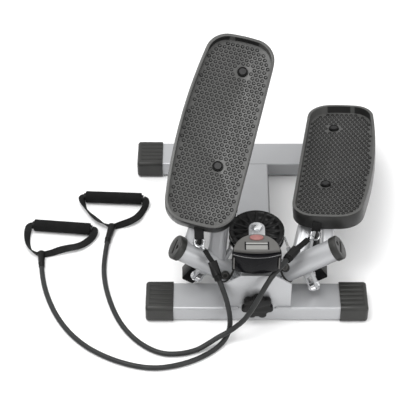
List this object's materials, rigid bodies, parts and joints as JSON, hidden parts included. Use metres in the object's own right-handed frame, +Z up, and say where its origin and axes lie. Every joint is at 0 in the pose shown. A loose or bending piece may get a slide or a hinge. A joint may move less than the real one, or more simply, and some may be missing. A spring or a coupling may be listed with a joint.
{
  "type": "stepper",
  "caption": "Compact twisting stepper: linked foot pedals on tilted pivots, hydraulic dampers, a cable pulley, a small monitor and elastic exercise bands with foam handles.",
  "frame": {"origin": "middle of the main tube's underside", "axes": "+X to the user's right seen from the monitor end, +Y from the front tube to the rear tube, +Z up"},
  "size_m": [0.6491, 0.5693, 0.3267],
  "materials": {
    "silver_paint": "silver powder coat, satin",
    "black_plastic": "moulded, satin",
    "pedal_plastic": "moulded, textured tread",
    "grey_plastic": "fine textured",
    "gloss_black": "glossy moulded",
    "window": "display behind clear plastic",
    "red_button": "moulded",
    "board": "printed circuit board",
    "zinc": "bright zinc plated",
    "chrome": "polished",
    "steel_cable": "twisted wire",
    "band_rubber": "latex tube, dull",
    "foam": "closed-cell foam",
    "webbing": "woven nylon"
  },
  "bodies": {
    "frame": {"front_cross_tube": "silver_paint", "rear_cross_tube": "silver_paint", "main_tube": "silver_paint", "front_right_end_cap": "black_plastic", "front_left_end_cap": "black_plastic", "rear_right_end_cap": "black_plastic", "rear_left_end_cap": "black_plastic", "post_bracket": "silver_paint", "post_welds": "silver_paint", "pivot_shafts": "zinc", "pulley_axle_bolt": "zinc", "monitor_housing": "gloss_black", "monitor_cover": "grey_plastic", "monitor_window": "window", "monitor_board": "board", "damper_ears": "silver_paint", "damper_pins": "zinc", "left_band_tube": "band_rubber", "right_band_tube": "band_rubber", "left_band_buckle": "black_plastic", "right_band_buckle": "black_plastic", "left_band_cone": "black_plastic", "right_band_cone": "black_plastic", "left_band_webbing": "webbing", "right_band_webbing": "webbing", "left_handle_core": "black_plastic", "right_handle_core": "black_plastic", "left_handle_grip": "foam", "right_handle_grip": "foam", "left_handle_strap": "webbing", "right_handle_strap": "webbing", "left_cable_run": "steel_cable", "right_cable_run": "steel_cable"},
    "pulley": {"pulley_wheel": "black_plastic", "pulley_cable_wrap": "steel_cable"},
    "knob": {"star_knob": "black_plastic", "knob_screw": "zinc"},
    "button": {"monitor_button": "red_button"},
    "left_damper": {"left_damper_body": "black_plastic"},
    "right_damper": {"right_damper_body": "black_plastic"},
    "left_rod": {"left_damper_rod": "chrome"},
    "right_rod": {"right_damper_rod": "chrome"},
    "left_arm": {"left_hub_sleeve": "silver_paint", "left_hub_caps": "black_plastic", "left_arm_tube": "silver_paint", "left_lever": "silver_paint", "left_lever_bolt": "zinc", "left_pedal": "pedal_plastic", "left_pedal_screws": "zinc", "left_band_tab": "webbing", "left_band_hook": "zinc"},
    "right_arm": {"right_hub_sleeve": "silver_paint", "right_hub_caps": "black_plastic", "right_arm_tube": "silver_paint", "right_lever": "silver_paint", "right_lever_bolt": "zinc", "right_pedal": "pedal_plastic", "right_pedal_screws": "zinc", "right_band_tab": "webbing", "right_band_hook": "zinc"}
  },
  "joints": [
    {"name": "left_arm_swing", "type": "hinge", "parent": "frame", "child": "left_arm", "pos_m": [-0.1309, -0.1477, 0.112], "axis": [0.8281, 0, -0.5606], "range_deg": [-41.85, 0], "deforming": ["left_cable_run", "left_band_webbing"]},
    {"name": "right_arm_swing", "type": "hinge", "parent": "frame", "child": "right_arm", "pos_m": [0.1309, -0.1477, 0.112], "axis": [0.8281, 0, 0.5606], "range_deg": [0, 41.85], "deforming": ["right_cable_run", "right_band_webbing"]},
    {"name": "pulley_spin", "type": "hinge", "parent": "frame", "child": "pulley", "pos_m": [0, -0.1, 0.101], "axis": [0, 0, 1], "range_deg": [-31, 0]},
    {"name": "left_damper_tilt", "type": "hinge", "parent": "frame", "child": "left_damper", "pos_m": [-0.10984, 0.126, 0.03252], "axis": [0.8281, 0, -0.5606], "range_deg": [-1.6, 0]},
    {"name": "right_damper_tilt", "type": "hinge", "parent": "frame", "child": "right_damper", "pos_m": [0.10984, 0.126, 0.03252], "axis": [0.8281, 0, 0.5606], "range_deg": [0, 1.6]},
    {"name": "left_rod_slide", "type": "slide", "parent": "left_damper", "child": "left_rod", "axis": [-0.0238, 0.9991, -0.0351], "range_m": [-0.02941, 0]},
    {"name": "right_rod_slide", "type": "slide", "parent": "right_damper", "child": "right_rod", "axis": [0.0393, 0.9975, -0.058], "range_m": [0, 0.02941]},
    {"name": "knob_turn", "type": "hinge", "parent": "frame", "child": "knob", "pos_m": [0, -0.2155, 0.043], "axis": [0, -1, 0], "continuous": true},
    {"name": "mode_button", "type": "slide", "parent": "frame", "child": "button", "axis": [0, 0, -1], "range_m": [0, 0.0015], "stiffness_N_per_m": 400, "springref_m": -0.001}
  ],
  "couplings": [
    {"joint": "right_arm_swing", "follows": "left_arm_swing", "ratio": -1},
    {"joint": "left_damper_tilt", "follows": "left_arm_swing", "ratio": 0.03789},
    {"joint": "right_damper_tilt", "follows": "left_arm_swing", "ratio": -0.03789},
    {"joint": "pulley_spin", "follows": "left_arm_swing", "ratio": 0.72},
    {"joint": "left_rod_slide", "follows": "left_arm_swing", "m_per_rad": 0.04012},
    {"joint": "right_rod_slide", "follows": "left_arm_swing", "m_per_rad": -0.04012}
  ]
}
